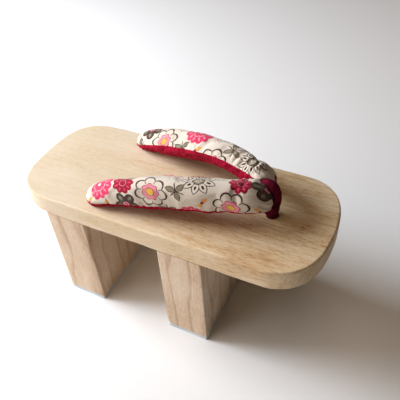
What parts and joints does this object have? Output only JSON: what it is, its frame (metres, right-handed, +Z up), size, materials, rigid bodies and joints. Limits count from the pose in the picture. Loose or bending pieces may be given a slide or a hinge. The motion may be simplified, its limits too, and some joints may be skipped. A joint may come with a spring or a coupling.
{
  "type": "geta sandal",
  "caption": "Wooden sandal with a flat rounded footboard on two tall teeth, rubber treads, a padded V strap and a toe loop.",
  "frame": {"origin": "on the floor, under the middle of the sandal's box", "axes": "+X towards the toe, +Y towards the wearer's left, +Z up"},
  "size_m": [0.24, 0.098, 0.1393],
  "materials": {
    "board_wood": "sanded pale wood, long fine grain",
    "tooth_wood": "sanded pale wood, upright grain",
    "tread_rubber": "matt pale blue-grey sheet rubber",
    "strap_cloth": "printed cotton with a crimson velvet back",
    "loop_velvet": "dark crimson velvet"
  },
  "bodies": {
    "root": {"board": "board_wood", "rear_tooth": "tooth_wood", "front_tooth": "tooth_wood", "rear_tread": "tread_rubber", "front_tread": "tread_rubber", "strap": "strap_cloth", "toe_loop": "loop_velvet"}
  },
  "joints": []
}
